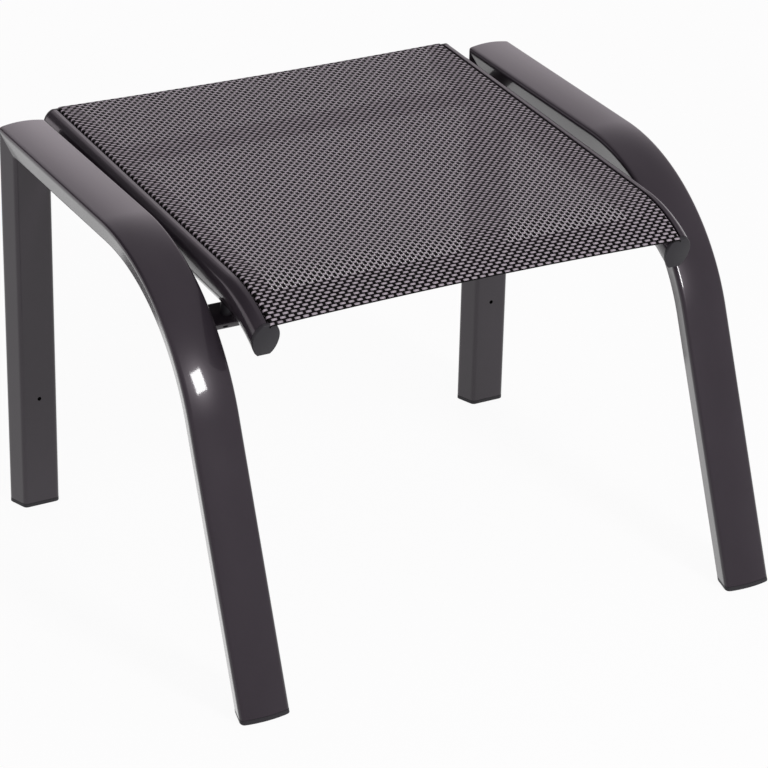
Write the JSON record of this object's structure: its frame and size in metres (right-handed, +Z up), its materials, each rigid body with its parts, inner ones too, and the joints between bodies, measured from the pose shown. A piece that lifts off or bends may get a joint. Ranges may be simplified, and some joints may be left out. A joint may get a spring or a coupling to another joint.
{
  "type": "outdoor footstool",
  "caption": "Patio footstool with a woven mesh sling held between two seat rails on crowned metal side frames with slanted front legs.",
  "frame": {"origin": "on the floor, under the middle of the overall box", "axes": "+X to the right of someone facing the same way as the stool's rear, +Y to the rear (the upright legs), +Z up; the slanted legs are at -Y"},
  "size_m": [0.5598, 0.5098, 0.3904],
  "materials": {
    "coated_aluminium": "glossy dark grey powder coat",
    "moulded_plastic": "moulded, fine grain",
    "woven_mesh": "open weave of dark and light grey coated yarns",
    "cord_plastic": "extruded",
    "zinc_steel": "zinc plated"
  },
  "bodies": {
    "root": {"side_tube_left": "coated_aluminium", "side_tube_right": "coated_aluminium", "rear_leg_left": "coated_aluminium", "rear_leg_right": "coated_aluminium", "foot_cap_front_left": "moulded_plastic", "foot_cap_front_right": "moulded_plastic", "foot_cap_rear_left": "moulded_plastic", "foot_cap_rear_right": "moulded_plastic", "seat_rail_left": "coated_aluminium", "seat_rail_right": "coated_aluminium", "rail_cap_rear_left": "moulded_plastic", "rail_cap_rear_right": "moulded_plastic", "rail_cap_front_left": "moulded_plastic", "rail_cap_front_right": "moulded_plastic", "rail_spacer_rear_left": "moulded_plastic", "rail_spacer_rear_right": "moulded_plastic", "rail_spacer_front_left": "moulded_plastic", "rail_spacer_front_right": "moulded_plastic", "sling_cord_left": "cord_plastic", "sling_cord_right": "cord_plastic", "rail_screw_rear_left": "zinc_steel", "rail_screw_rear_right": "zinc_steel", "rail_screw_front_left": "zinc_steel", "rail_screw_front_right": "zinc_steel", "cross_bar_rear": "coated_aluminium", "cross_bar_front": "coated_aluminium", "sling": "woven_mesh"}
  },
  "joints": []
}
